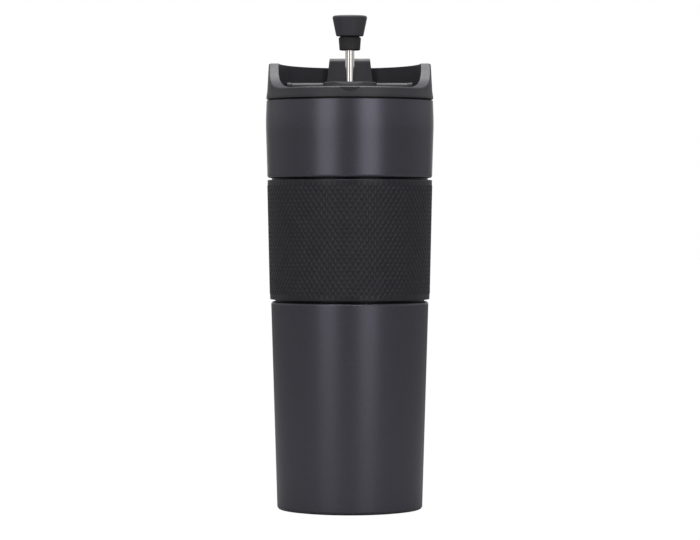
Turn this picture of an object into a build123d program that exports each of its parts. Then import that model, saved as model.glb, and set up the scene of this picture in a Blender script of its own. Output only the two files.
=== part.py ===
from build123d import *
import os
from math import pi, sqrt

# Travel French press: a double-walled steel tumbler with a silicone grip, a push-in lid that carries
# a flip-up drinking flap, and a plunger whose rod runs through the middle of the lid.
# Millimetres. +Z is up, the origin is the middle of the foot on the table, and -Y is the front,
# where the rim of the lid is cut low. The plunger stands a little above its lowest position.

# ---------------------------------------------------------------- cup
CUP_HEIGHT = 197.2        # table to lip
BASE_R = 34.95            # outside radius of the taper at the table
SHOULDER_R = 40.45        # widest radius
SHOULDER_DROP = 10.5      # widest ring below the lip
LIP_IN = 0.4              # how far the lip is inside the widest radius
SHOULDER_ROUND = 90.0
LIP_ROUND = 0.5
BASE_CORNER = 1.6
WALL = 0.6                # steel sheet
FOOT_GAP = 0.4            # steel edge above the table
BASE_FLANGE = 2.4         # flat flange between the base corner and the hole in the shell's bottom
BASE_LAP = 2.0            # how far the base plate laps over that flange
PAD_FIT = 0.2
PAD_GROOVE = 2.0          # width of the ring groove in the pad
PAD_BORDER = 8.5          # pad edge to that groove

UPPER_BAND = 37.35        # lip to the top of the grip groove
GROOVE_HEIGHT = 59.3
GROOVE_DEPTH = 2.0
GROOVE_CORNER = 1.3

VACUUM_GAP = 2.7          # between the two walls at the base
LIP_WIDTH = 2.2           # lip to the inside of the neck
NECK_DEPTH = 23.0         # lip to the bottom of the straight neck
NECK_CONE = 8.0           # height of the cone between neck and bore
NECK_ROUND = 2.5
FLOOR_Z = 7.6             # inside floor
FLOOR_CORNER = 6.0
GETTER_R = 5.0
GETTER_HEIGHT = 1.6

# ---------------------------------------------------------------- grip
GRIP_LOW_PROUD = 0.45     # smooth band beyond the taper, at the bottom
GRIP_TOP_PROUD = 0.0      # and at the top
GRIP_GAP = 0.95           # gap at each end of the groove
GRIP_FIT = 0.05
GRIP_BORDER = 2.4         # smooth band at each end
GRIP_FIELD = 0.15         # how far the patterned field stands out
GRIP_EDGE = 0.4

# ---------------------------------------------------------------- lid
LID_GAP = 0.5             # between the lip and the lid
LID_OVER_LIP = 0.1        # lid beyond the lip
LID_BASE_BAND = 1.0
LID_WAIST_IN = 0.4        # waist inside the lid's base
LID_WAIST_RISE = 3.8      # underside to the waist of the flare
RIM_TOP_IN = 0.9          # rim's top inside the waist
RIM_HEIGHT = 17.35        # underside to the top of the side horns
RIM_WALL_TOP = 4.7
RIM_WALL_LOW = 4.75
RIM_EDGE = 0.9
DECK = 3.0                # thickness of the deck
DECK_CORNER = 1.2
FRONT_HEIGHT = 4.95       # underside to the low front of the rim
BACK_DROP = 1.15          # rim at the back below the horns
HORN_Y = 0.4              # where the front slope of the horns starts
SCOOP_RUN = 13.2          # how far that slope runs forward before it would meet the low front
SCOOP_R = 26.0
HORN_ROUND = 2.0
LIP_BUMP_R = 12.0         # ball that forms the thumb lip at the front
LIP_BUMP_PROUD = 0.8
LIP_BUMP_RISE = 1.6       # centre of that ball above the low front
LIP_BUMP_BACK = 1.8       # how far the lip reaches into the wall
LIP_BUMP_EDGE = 0.6

BOSS_WALL = 7.0           # round the collar's seat
BOSS_FLARE = 1.4
BOSS_HEIGHT = 5.2         # above the deck
BOSS_EDGE = 0.6
SEAT_FIT = 0.35           # round the collar in its seat
SEAT_UNDER = 0.3          # under the collar in its seat

SPIGOT_DEPTH = 4.0
SPIGOT_WALL = 1.8
PLUG_GAP = 0.8            # plug to the neck
PLUG_WALL = 3.0
PLUG_DEPTH = 17.0         # underside of the lid to the bottom of the plug
PLUG_FLOOR = 2.0
PLUG_EDGE = 1.0
JOINT_FIT = 0.05          # between pieces that are pushed or welded together

SEAL_GROOVE_DEPTH = 1.2
SEAL_HEIGHT = 6.0
SEAL_LOW = 4.0            # plug bottom to the groove
SEAL_GAP = 0.15           # seal fins to the neck, and seal to its groove
FIN_COUNT = 2
FIN_HEIGHT = 1.2

# ---------------------------------------------------------------- drinking hole, vent and flap
HOLE_TO_TAB = 3.2         # middle of the drinking hole to the thumb tab
HOLE_LENGTH = 14.0
HOLE_WIDTH = 7.0
HOLE_LIP = 1.2            # width and height of the raised edge round a hole
CHIMNEY_WALL = 1.2
CHIMNEY_END = 0.4         # chimney end above the underside of the plug
VENT_SIDE = 16.0          # vent beside the drinking hole
VENT_BEFORE = 5.0         # and nearer the hinge
VENT_R = 1.0
VENT_WALL = 1.1

HINGE_Y = 11.0
HINGE_RISE = 3.65         # hinge axis above the deck
PIN_R = 1.0
PIN_RUNNING = 0.06
PIN_PROUD = 0.2
PIN_CHAMFER = 0.2
BARREL_WALL = 0.7
EAR_WALL = 1.3
EAR_GAP = 0.3
EAR_THICK = 2.0
EAR_TO_RIM = 0.9
EAR_SLOT = 1.5            # opening that the pin snaps through
BOSS_CLEAR = 0.5          # boss to the hinge barrel
FLAP_THICK = 2.0
FLAP_SIDE_GAP = 0.4       # flap inside the ends of its barrel
FLAP_RIM_GAP = 0.6
FLAP_EDGE = 0.5
FLAP_TOP_RISE = 4.2       # top of the flap above the deck

TAB_IN = 6.8              # face of the thumb tab inside the flap's edge
TAB_THICK = 4.4
TAB_RISE = 18.0           # top of the thumb tab above the deck
TAB_LOW_HALF = 11.6
TAB_TOP_HALF = 9.9
TAB_EDGE = 2.1

PLUG_FLANGE = 0.7         # drink plug's flange beyond the raised edge
PLUG_SQUEEZE_GAP = 0.15   # flange above the raised edge
PLUG_BODY_FIT = 0.4       # plug nose inside the hole
PLUG_NOSE = 1.6
PLUG_NOSE_EDGE = 0.5
VENT_NOSE = 0.8
VENT_NOSE_FIT = 0.25
STEM_R = 1.3
STEM_FIT = 0.05
BUTTON_RIM = 0.9          # button beyond its stem
BUTTON_THICK = 0.8
VENT_BUTTON_RIM = 0.5
VENT_BUTTON_THICK = 0.4

# ---------------------------------------------------------------- plunger
ROD_R = 2.2
ROD_RUNNING = 0.15        # rod in the lid's two bores
ROD_FIT = 0.03            # rod in the pieces that are screwed to it
ROD_TIP = 0.5
WIPER_WALL = 2.7
WIPER_HEIGHT = 3.6
WIPER_NOTCH = 0.6         # relief between the wiper's two lips
WIPER_BORE_FIT = 0.05
WIPER_GAP = 0.15
HUB_WALL = 2.5

PLUNGER_LIFT = 21.9       # knob above its seat as it stands
KNOB_HEIGHT = 10.05
KNOB_TOP_R = 8.55
KNOB_LOW_R = 6.55
KNOB_TOP_EDGE = 1.0
KNOB_LOW_EDGE = 0.4
KNOB_DOME = 0.3
SEATED_GAP = 0.3          # knob above the boss when it is fully down
COLLAR_HEIGHT = 6.85
COLLAR_WALL = 3.2
COLLAR_TAPER = 0.42
COLLAR_CHAMFER = 0.9
COLLAR_EDGE = 0.6
INSERT_WALL = 1.0
INSERT_HEIGHT = 7.0
INSERT_CAP = 1.0

FILTER_CLEAR = 0.8        # filter edge to the bore
FILTER_FLOOR_GAP = 14.4   # hub nut above the inside floor when fully down
NUT_WALL = 1.8
NUT_EDGE = 0.6
HUB_NUT_HEIGHT = 6.0
HUB_NUT_CAP = 2.5
STOP_NUT_HEIGHT = 6.0
CROSS_IN = 1.7            # cross plate inside the mesh
CROSS_THICK = 1.0
CROSS_HOLE_R = 2.1
CROSS_PITCH = 6.9         # hole to hole round a ring
CROSS_RINGS = 3
CROSS_BORDER = 2.0
MESH_THICK = 0.4
MESH_SKIRT = 5.2
MESH_CORNER = 1.0
SPIRAL_TO_COIL = 1.05
SPIRAL_THICK = 1.0
SPIRAL_SLOT = 5.0         # width of its curved slots
SPIRAL_SLOTS = 6
SPIRAL_BRIDGE = 16.0      # degrees of metal between slots
COIL_R = 1.25
COIL_FIT = 0.15           # coil to the skirt of the mesh

# ---------------------------------------------------------------- sizes worked out from those
LIP_R = SHOULDER_R - LIP_IN
SHOULDER_Z = CUP_HEIGHT - SHOULDER_DROP
GROOVE_TOP = CUP_HEIGHT - UPPER_BAND
GROOVE_BOTTOM = GROOVE_TOP - GROOVE_HEIGHT
BASE_OPENING_R = BASE_R - BASE_CORNER - BASE_FLANGE
BASE_PLATE_Z = FOOT_GAP + WALL
PAD_R = BASE_OPENING_R - PAD_FIT
NECK_R = LIP_R - LIP_WIDTH
BORE_R = BASE_R - WALL - VACUUM_GAP - WALL

LID_Z = CUP_HEIGHT + LID_GAP
DECK_Z = LID_Z + DECK
LID_BASE_R = LIP_R + LID_OVER_LIP
LID_WAIST_R = LID_BASE_R - LID_WAIST_IN
RIM_TOP_R = LID_WAIST_R - RIM_TOP_IN
RIM_INSIDE_TOP_R = RIM_TOP_R - RIM_WALL_TOP
RIM_INSIDE_LOW_R = LID_WAIST_R - RIM_WALL_LOW
PLUG_Z = LID_Z - PLUG_DEPTH
PLUG_R = NECK_R - PLUG_GAP
SPIGOT_OUT_R = PLUG_R - PLUG_WALL - JOINT_FIT

NUT_ACROSS = 2 * (ROD_R + NUT_WALL)
NUT_CORNER_R = NUT_ACROSS / sqrt(3)
INSERT_ACROSS = 2 * (ROD_R + INSERT_WALL)
WIPER_R = ROD_R + WIPER_WALL
WIPER_ROOM = WIPER_HEIGHT + 2 * WIPER_GAP
COLLAR_TOP_R = ROD_R + COLLAR_WALL
SEAT_R = COLLAR_TOP_R + SEAT_FIT
BOSS_TOP_R = SEAT_R + BOSS_WALL
BOSS_BASE_R = BOSS_TOP_R + BOSS_FLARE
BOSS_Z = DECK_Z + BOSS_HEIGHT
SEAT_Z = BOSS_Z + SEATED_GAP - COLLAR_HEIGHT - SEAT_UNDER

BARREL_R = PIN_R + BARREL_WALL
EAR_R = PIN_R + EAR_WALL
HINGE_Z = DECK_Z + HINGE_RISE
EAR_OUTER_X = sqrt(RIM_INSIDE_LOW_R**2 - (HINGE_Y + EAR_R) ** 2) - DECK_CORNER - EAR_TO_RIM
BARREL_HALF = EAR_OUTER_X - EAR_THICK - EAR_GAP
FLAP_SIDE = BARREL_HALF - FLAP_SIDE_GAP
FLAP_R = RIM_INSIDE_LOW_R - FLAP_RIM_GAP
FLAP_Z = DECK_Z + FLAP_TOP_RISE - FLAP_THICK
TAB_Y = FLAP_R - TAB_IN
TAB_R = min(FLAP_R, RIM_INSIDE_TOP_R - FLAP_RIM_GAP)
HOLE_Y = TAB_Y - HOLE_TO_TAB
VENT_X, VENT_Y = VENT_SIDE, HOLE_Y - VENT_BEFORE
STOPPER_Z = DECK_Z + HOLE_LIP + PLUG_SQUEEZE_GAP

KNOB_Z = BOSS_Z + SEATED_GAP + PLUNGER_LIFT
HUB_NUT_Z = FLOOR_Z + FILTER_FLOOR_GAP + PLUNGER_LIFT
CROSS_Z = HUB_NUT_Z + HUB_NUT_HEIGHT
MESH_Z = CROSS_Z + CROSS_THICK
SPIRAL_Z = MESH_Z + MESH_THICK
STOP_NUT_Z = SPIRAL_Z + SPIRAL_THICK
MESH_R = BORE_R - FILTER_CLEAR
COIL_RING_R = MESH_R - MESH_THICK - COIL_FIT - COIL_R
SPIRAL_R = COIL_RING_R - COIL_R - SPIRAL_TO_COIL
CROSS_R = MESH_R - CROSS_IN


def shell_r(z):
    """Outside radius of the cup's taper at height z."""
    return BASE_R + (SHOULDER_R - BASE_R) * z / SHOULDER_Z


def grip_r(z):
    """Outside radius of the grip's smooth bands at height z."""
    up = (z - GROOVE_BOTTOM) / GROOVE_HEIGHT
    return shell_r(z) + GRIP_LOW_PROUD + (GRIP_TOP_PROUD - GRIP_LOW_PROUD) * up


def turned(*corners):
    """A piece turned about Z. Each corner is (radius, height) or (radius, height, rounding)."""
    points = [corner[:2] for corner in corners]
    rounds = [corner[2] if len(corner) > 2 else 0 for corner in corners]
    outline = FilletPolyline(*points, radius=rounds, close=True)
    return revolve(Plane.XZ * make_face(outline), Axis.Z)


def column(radius, low, high, x=0.0, y=0.0):
    """An upright cylinder between two heights."""
    return Pos(x, y, low) * Cylinder(radius, high - low, align=(Align.CENTER, Align.CENTER, Align.MIN))


def tube(outside, inside, low, high, x=0.0, y=0.0):
    """An upright tube between two heights."""
    return column(outside, low, high, x, y) - column(inside, low, high, x, y)


def slot_column(length, width, low, high):
    """An upright column of slot section at the drinking hole."""
    return Pos(0, HOLE_Y, low) * extrude(SlotOverall(length, width), high - low)


def block(x_low, x_high, y_low, y_high, z_low, z_high):
    """A box between two corners."""
    box = Box(x_high - x_low, y_high - y_low, z_high - z_low, align=(Align.MIN, Align.MIN, Align.MIN))
    return Pos(x_low, y_low, z_low) * box


def hexagon(across, low, high):
    """A hexagonal prism, given across its flats."""
    return Pos(0, 0, low) * extrude(RegularPolygon(across / 2, 6, major_radius=False), high - low)


# ---------------------------------------------------------------- cup pieces
def outer_shell():
    """Painted outer wall: flange under the base, taper, grip groove, shoulder and rolled lip."""
    groove_low = shell_r(GROOVE_BOTTOM) - GROOVE_DEPTH
    groove_high = shell_r(GROOVE_TOP) - GROOVE_DEPTH
    under = GROOVE_BOTTOM - WALL
    over = GROOVE_TOP + WALL
    inner_corner = GROOVE_CORNER - WALL
    return turned(
        (BASE_OPENING_R, FOOT_GAP),
        (shell_r(FOOT_GAP), FOOT_GAP, BASE_CORNER),
        (shell_r(GROOVE_BOTTOM), GROOVE_BOTTOM, GROOVE_CORNER),
        (groove_low, GROOVE_BOTTOM),
        (groove_high, GROOVE_TOP),
        (shell_r(GROOVE_TOP), GROOVE_TOP, GROOVE_CORNER),
        (SHOULDER_R, SHOULDER_Z, SHOULDER_ROUND),
        (LIP_R, CUP_HEIGHT, LIP_ROUND),
        (NECK_R + WALL, CUP_HEIGHT),
        (NECK_R + WALL, CUP_HEIGHT - WALL),
        (LIP_R - WALL, CUP_HEIGHT - WALL),
        (SHOULDER_R - WALL, SHOULDER_Z, SHOULDER_ROUND),
        (shell_r(over) - WALL, over, inner_corner),
        (groove_high - WALL, over),
        (groove_low - WALL, under),
        (shell_r(under) - WALL, under, inner_corner),
        (shell_r(FOOT_GAP) - WALL, BASE_PLATE_Z, BASE_CORNER - WALL),
        (BASE_OPENING_R, BASE_PLATE_Z),
    )


def inner_shell():
    """Stainless vessel: straight bore for the filter, a cone, and a wider neck for the lid."""
    neck_z = CUP_HEIGHT - NECK_DEPTH
    cone_z = neck_z - NECK_CONE
    return turned(
        (0, FLOOR_Z - WALL),
        (BORE_R + WALL, FLOOR_Z - WALL, FLOOR_CORNER + WALL),
        (BORE_R + WALL, cone_z, NECK_ROUND),
        (NECK_R + WALL, neck_z, NECK_ROUND),
        (NECK_R + WALL, CUP_HEIGHT),
        (NECK_R, CUP_HEIGHT),
        (NECK_R, neck_z, NECK_ROUND + WALL),
        (BORE_R, cone_z, NECK_ROUND),
        (BORE_R, FLOOR_Z, FLOOR_CORNER),
        (0, FLOOR_Z),
    )


def base_plate():
    """Steel disc welded over the hole in the outer shell's bottom flange."""
    return column(BASE_OPENING_R + BASE_LAP, BASE_PLATE_Z, BASE_PLATE_Z + WALL)


def base_pad():
    """Non-slip silicone disc under the base plate, with one shallow ring groove."""
    groove_r = PAD_R - PAD_BORDER
    ring = tube(groove_r, groove_r - PAD_GROOVE, 0, FOOT_GAP)
    return column(PAD_R, 0, BASE_PLATE_Z) - ring


def vacuum_getter():
    """Getter button under the inner floor, in the vacuum."""
    return column(GETTER_R, FLOOR_Z - WALL - GETTER_HEIGHT, FLOOR_Z - WALL)


def grip_sleeve():
    """Silicone sleeve stretched into the groove: a proud field between two smooth bands."""
    low = GROOVE_BOTTOM + GRIP_GAP
    high = GROOVE_TOP - GRIP_GAP
    inside_low = shell_r(low) - GROOVE_DEPTH + GRIP_FIT
    inside_high = shell_r(high) - GROOVE_DEPTH + GRIP_FIT
    field_low = low + GRIP_BORDER
    field_high = high - GRIP_BORDER
    return turned(
        (inside_low, low),
        (grip_r(low), low, GRIP_EDGE),
        (grip_r(field_low), field_low),
        (grip_r(field_low) + GRIP_FIELD, field_low + GRIP_FIELD),
        (grip_r(field_high) + GRIP_FIELD, field_high - GRIP_FIELD),
        (grip_r(field_high), field_high),
        (grip_r(high), high, GRIP_EDGE),
        (inside_high, high),
    )


# ---------------------------------------------------------------- lid pieces
def rim_cutter():
    """Everything above the rim's top line, which is the same all the way across in X."""
    reach = LID_BASE_R + 5
    above = LID_Z + RIM_HEIGHT + 10
    front, top = LID_Z + FRONT_HEIGHT, LID_Z + RIM_HEIGHT
    back = top - BACK_DROP
    outline = FilletPolyline(
        (-reach, front),
        (HORN_Y - SCOOP_RUN, front),
        (HORN_Y, top),
        (reach, back),
        (reach, above),
        (-reach, above),
        radius=[0, SCOOP_R, HORN_ROUND, 0, 0, 0],
        close=True,
    )
    return extrude(Plane.YZ * make_face(outline), reach, both=True)


def rim_edges(lid):
    """The inner and outer edges of the rim's top, all the way round."""
    def on_top(edge):
        radii = [sqrt(p.X**2 + p.Y**2) for p in (edge @ 0.25, edge @ 0.5, edge @ 0.75)]
        heights = [p.Z for p in (edge @ 0, edge @ 0.5, edge @ 1)]
        level = LID_Z + FRONT_HEIGHT
        round_wall = all(RIM_INSIDE_LOW_R - 0.1 < r < LID_BASE_R for r in radii)
        spread = max(radii) - min(radii)
        return round_wall and min(heights) > level - 0.01 and spread < 0.5
    return lid.edges().filter_by(on_top)


def thumb_lip():
    """Small rounded lip that swells out of the low front of the rim."""
    front = LID_Z + FRONT_HEIGHT
    ball_y = LIP_BUMP_R - LIP_BUMP_PROUD - LID_WAIST_R
    ball = Pos(0, ball_y, front + LIP_BUMP_RISE) * Sphere(LIP_BUMP_R)
    half = LIP_BUMP_R
    lip = ball & block(-half, half, -LID_BASE_R - 2, LIP_BUMP_BACK - LID_WAIST_R, DECK_Z - DECK, front)
    edge = lip.edges().group_by(Axis.Z)[-1].sort_by(Axis.Y)[0]
    return fillet(edge, LIP_BUMP_EDGE)


def hinge_ears():
    """Two ears on the deck with snap-in bearings for the flap's pin."""
    ears = Part()
    for side in (-1, 1):
        x_near = side * (BARREL_HALF + EAR_GAP)
        x_far = x_near + side * EAR_THICK
        low, high = min(x_near, x_far), max(x_near, x_far)
        post = block(low, high, HINGE_Y - EAR_R, HINGE_Y + EAR_R, DECK_Z - 1, HINGE_Z)
        crown = Pos((low + high) / 2, HINGE_Y, HINGE_Z) * Rot(0, 90, 0) * Cylinder(EAR_R, EAR_THICK)
        bearing = Pos((low + high) / 2, HINGE_Y, HINGE_Z) * Rot(0, 90, 0)
        bearing *= Cylinder(PIN_R + PIN_RUNNING, 2 * EAR_THICK)
        mouth = block(low - 1, high + 1, HINGE_Y - EAR_SLOT / 2, HINGE_Y + EAR_SLOT / 2,
                      HINGE_Z, HINGE_Z + 2 * EAR_R)
        cut_down = block(low - 1, high + 1, HINGE_Y - 2 * EAR_R, HINGE_Y + 2 * EAR_R,
                         HINGE_Z + BARREL_R, HINGE_Z + 2 * EAR_R)
        ears += post + crown - bearing - mouth - cut_down
    return ears


def lid_top():
    """Moulded lid: high rim with a low front, deck, rod boss, hinge ears, drinking hole and vent."""
    hub_r = WIPER_R + WIPER_GAP + HUB_WALL
    hub_z = LID_Z - WIPER_ROOM - SPIGOT_DEPTH
    body = turned(
        (ROD_R + ROD_RUNNING, LID_Z),
        (SPIGOT_OUT_R - SPIGOT_WALL, LID_Z),
        (SPIGOT_OUT_R - SPIGOT_WALL, LID_Z - SPIGOT_DEPTH),
        (SPIGOT_OUT_R, LID_Z - SPIGOT_DEPTH),
        (SPIGOT_OUT_R, LID_Z),
        (LID_BASE_R, LID_Z, 0.2),
        (LID_BASE_R, LID_Z + LID_BASE_BAND, 1.5),
        (LID_WAIST_R, LID_Z + LID_WAIST_RISE, 12),
        (RIM_TOP_R, LID_Z + RIM_HEIGHT + 2),
        (RIM_INSIDE_TOP_R, LID_Z + RIM_HEIGHT + 2),
        (RIM_INSIDE_LOW_R, DECK_Z, DECK_CORNER),
        (BOSS_BASE_R, DECK_Z, 0.8),
        (BOSS_TOP_R, BOSS_Z, BOSS_EDGE),
        (SEAT_R, BOSS_Z, 0.3),
        (SEAT_R, SEAT_Z),
        (ROD_R + ROD_RUNNING, SEAT_Z),
    )
    body -= block(-BOSS_BASE_R, BOSS_BASE_R, HINGE_Y - BARREL_R - BOSS_CLEAR, BOSS_BASE_R + 1,
                  DECK_Z, BOSS_Z + 1)
    body -= rim_cutter()
    body = fillet(rim_edges(body), RIM_EDGE)
    body += thumb_lip()
    body += hinge_ears()
    body += tube(hub_r, WIPER_R + WIPER_GAP, hub_z, LID_Z)
    chimney_z = PLUG_Z + CHIMNEY_END
    raised = 2 * HOLE_LIP
    body += slot_column(HOLE_LENGTH + raised, HOLE_WIDTH + raised, DECK_Z - DECK / 2, DECK_Z + HOLE_LIP)
    body += slot_column(HOLE_LENGTH + 2 * CHIMNEY_WALL, HOLE_WIDTH + 2 * CHIMNEY_WALL, chimney_z, DECK_Z)
    body -= slot_column(HOLE_LENGTH, HOLE_WIDTH, PLUG_Z - 1, BOSS_Z)
    body += column(VENT_R + VENT_WALL, chimney_z, DECK_Z + HOLE_LIP, VENT_X, VENT_Y)
    body -= column(VENT_R, PLUG_Z - 1, BOSS_Z, VENT_X, VENT_Y)
    return body


def lid_plug():
    """Hollow plug under the lid: seal groove outside, floor with the ways for rod, drink and air."""
    groove_z = PLUG_Z + SEAL_LOW
    groove_r = PLUG_R - SEAL_GROOVE_DEPTH
    inside_r = PLUG_R - PLUG_WALL
    body = turned(
        (0, PLUG_Z),
        (PLUG_R, PLUG_Z, PLUG_EDGE),
        (PLUG_R, groove_z),
        (groove_r, groove_z),
        (groove_r, groove_z + SEAL_HEIGHT),
        (PLUG_R, groove_z + SEAL_HEIGHT),
        (PLUG_R, LID_Z),
        (inside_r, LID_Z),
        (inside_r, PLUG_Z + PLUG_FLOOR, 1.0),
        (0, PLUG_Z + PLUG_FLOOR),
    )
    sleeve_top = LID_Z - WIPER_ROOM
    body += column(WIPER_R + WIPER_GAP - JOINT_FIT, PLUG_Z, sleeve_top)
    body -= column(ROD_R + ROD_RUNNING, PLUG_Z - 1, sleeve_top + 1)
    chimney = 2 * (CHIMNEY_WALL + JOINT_FIT)
    body -= slot_column(HOLE_LENGTH + chimney, HOLE_WIDTH + chimney, PLUG_Z - 1, PLUG_Z + PLUG_FLOOR + 1)
    vent_r = VENT_R + VENT_WALL + JOINT_FIT
    body -= column(vent_r, PLUG_Z - 1, PLUG_Z + PLUG_FLOOR + 1, VENT_X, VENT_Y)
    return body


def lid_seal_ring():
    """Silicone ring in the plug's groove, with fins towards the neck."""
    low = PLUG_Z + SEAL_LOW + SEAL_GAP
    high = PLUG_Z + SEAL_LOW + SEAL_HEIGHT - SEAL_GAP
    ring = tube(PLUG_R - SEAL_GAP, PLUG_R - SEAL_GROOVE_DEPTH + SEAL_GAP, low, high)
    fin_room = (high - low) / FIN_COUNT
    for number in range(FIN_COUNT):
        foot = low + fin_room * (number + 0.5) - FIN_HEIGHT / 2
        ring += turned(
            (PLUG_R - SEAL_GROOVE_DEPTH + 2 * SEAL_GAP, foot),
            (NECK_R - SEAL_GAP, foot + FIN_HEIGHT * 0.6),
            (NECK_R - SEAL_GAP, foot + FIN_HEIGHT),
            (PLUG_R - SEAL_GROOVE_DEPTH + 2 * SEAL_GAP, foot + FIN_HEIGHT),
        )
    return ring


def rod_wiper():
    """Silicone wiper round the rod, in the pocket between lid top and plug."""
    low = LID_Z - WIPER_ROOM + WIPER_GAP
    high = low + WIPER_HEIGHT
    middle = (low + high) / 2
    bore = ROD_R + WIPER_BORE_FIT
    return turned(
        (bore, low),
        (WIPER_R, low, 0.3),
        (WIPER_R, high, 0.3),
        (bore, high),
        (bore, middle + WIPER_NOTCH),
        (bore + WIPER_NOTCH, middle),
        (bore, middle - WIPER_NOTCH),
    )


# ---------------------------------------------------------------- flap pieces
def drink_flap():
    """Half-moon flap with a full-width hinge barrel and an upright thumb tab at its far edge."""
    barrel = Pos(0, HINGE_Y, HINGE_Z) * Rot(0, 90, 0) * Cylinder(BARREL_R, 2 * BARREL_HALF)
    plate_block = block(-FLAP_SIDE, FLAP_SIDE, HINGE_Y, FLAP_R, FLAP_Z, FLAP_Z + FLAP_THICK)
    plate = plate_block & column(FLAP_R, FLAP_Z, FLAP_Z + FLAP_THICK)
    top_edges = plate.edges().group_by(Axis.Z)[-1].filter_by(lambda e: e.center().Y > HINGE_Y + 1)
    plate = fillet(top_edges, FLAP_EDGE)
    foot, top = FLAP_Z + FLAP_THICK / 2, DECK_Z + TAB_RISE
    face = Polyline((-TAB_LOW_HALF, foot), (TAB_LOW_HALF, foot), (TAB_TOP_HALF, top),
                    (-TAB_TOP_HALF, top), close=True)
    tab = Pos(0, TAB_Y + TAB_THICK, 0) * extrude(Plane.XZ * make_face(face), TAB_THICK)
    tab &= column(TAB_R, foot, top + 1)
    tab = fillet(tab.edges().group_by(Axis.Z)[-1].filter_by(GeomType.LINE).filter_by(Axis.X), TAB_EDGE)
    body = barrel + plate + tab
    body -= Pos(0, HINGE_Y, HINGE_Z) * Rot(0, 90, 0) * Cylinder(PIN_R + JOINT_FIT / 2, 2 * BARREL_HALF + 2)
    body -= column(STEM_R + STEM_FIT, FLAP_Z - 1, FLAP_Z + FLAP_THICK + 1, 0, HOLE_Y)
    body -= column(VENT_R + STEM_FIT, FLAP_Z - 1, FLAP_Z + FLAP_THICK + 1, VENT_X, VENT_Y)
    return body


def flap_pin():
    """Nylon hinge pin through the flap's barrel, its ends in the ears."""
    length = 2 * (BARREL_HALF + EAR_GAP + EAR_THICK + PIN_PROUD)
    pin = Pos(0, HINGE_Y, HINGE_Z) * Rot(0, 90, 0) * Cylinder(PIN_R, length)
    return chamfer(pin.edges().filter_by(GeomType.CIRCLE), PIN_CHAMFER)


def drink_plug():
    """Silicone stopper for the drinking hole, with its stem pulled through the flap."""
    flange = 2 * (HOLE_LIP + PLUG_FLANGE)
    nose = 2 * PLUG_BODY_FIT
    body = slot_column(HOLE_LENGTH + flange, HOLE_WIDTH + flange, STOPPER_Z, FLAP_Z)
    body += slot_column(HOLE_LENGTH - nose, HOLE_WIDTH - nose, STOPPER_Z - PLUG_NOSE, STOPPER_Z)
    body = chamfer(body.edges().group_by(Axis.Z)[0], PLUG_NOSE_EDGE)
    top = FLAP_Z + FLAP_THICK
    body += column(STEM_R, STOPPER_Z, top, 0, HOLE_Y)
    button = column(STEM_R + BUTTON_RIM, top, top + BUTTON_THICK, 0, HOLE_Y)
    return body + fillet(button.edges().group_by(Axis.Z)[-1], BUTTON_THICK / 2)


def vent_plug():
    """Small silicone stopper for the vent."""
    top = FLAP_Z + FLAP_THICK
    body = column(VENT_R + VENT_WALL, STOPPER_Z, FLAP_Z, VENT_X, VENT_Y)
    body += column(VENT_R - VENT_NOSE_FIT, STOPPER_Z - VENT_NOSE, STOPPER_Z, VENT_X, VENT_Y)
    body += column(VENT_R, STOPPER_Z, top, VENT_X, VENT_Y)
    button = column(VENT_R + VENT_BUTTON_RIM, top, top + VENT_BUTTON_THICK, VENT_X, VENT_Y)
    return body + fillet(button.edges().group_by(Axis.Z)[-1], VENT_BUTTON_THICK / 2)


# ---------------------------------------------------------------- plunger pieces
def knob():
    """Conical plastic knob, hollow for its brass insert."""
    insert = hexagon(INSERT_ACROSS + 2 * JOINT_FIT, KNOB_Z - 1, KNOB_Z + INSERT_HEIGHT + JOINT_FIT)
    body = turned(
        (0, KNOB_Z),
        (KNOB_LOW_R, KNOB_Z, KNOB_LOW_EDGE),
        (KNOB_TOP_R, KNOB_Z + KNOB_HEIGHT - KNOB_DOME, KNOB_TOP_EDGE),
        (0, KNOB_Z + KNOB_HEIGHT),
    )
    return body - insert


def knob_insert():
    """Threaded brass insert that the rod screws into."""
    body = hexagon(INSERT_ACROSS, KNOB_Z, KNOB_Z + INSERT_HEIGHT)
    return body - column(ROD_R + ROD_FIT, KNOB_Z - 1, KNOB_Z + INSERT_HEIGHT - INSERT_CAP)


def knob_collar():
    """Silicone collar under the knob that closes the rod's seat when the plunger is down."""
    low = KNOB_Z - COLLAR_HEIGHT
    bore = ROD_R + ROD_FIT
    neck_r = COLLAR_TOP_R - COLLAR_CHAMFER
    return turned(
        (bore, low),
        (COLLAR_TOP_R - COLLAR_TAPER, low, COLLAR_EDGE),
        (COLLAR_TOP_R, KNOB_Z - COLLAR_CHAMFER, COLLAR_CHAMFER / 4),
        (neck_r, KNOB_Z - COLLAR_CHAMFER / 4),
        (neck_r, KNOB_Z),
        (bore, KNOB_Z),
    )


def plunger_rod():
    """Polished stainless rod from the hub nut up into the knob."""
    low = HUB_NUT_Z + HUB_NUT_CAP
    high = KNOB_Z + INSERT_HEIGHT - INSERT_CAP - JOINT_FIT
    return turned(
        (0, low),
        (ROD_R - ROD_TIP, low),
        (ROD_R, low + ROD_TIP),
        (ROD_R, high - ROD_TIP),
        (ROD_R - ROD_TIP, high),
        (0, high),
    )


def nut(low, height, cap=0.0):
    """A hexagon nut on the rod, closed at the bottom by cap if that isn't 0."""
    high = low + height
    rounding = turned((0, low), (NUT_CORNER_R - NUT_EDGE, low), (NUT_CORNER_R, low + NUT_EDGE),
                      (NUT_CORNER_R, high - NUT_EDGE), (NUT_CORNER_R - NUT_EDGE, high), (0, high))
    bore_low = low + cap if cap else low - 1
    return (hexagon(NUT_ACROSS, low, high) & rounding) - column(ROD_R + ROD_FIT, bore_low, high + 1)


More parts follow.
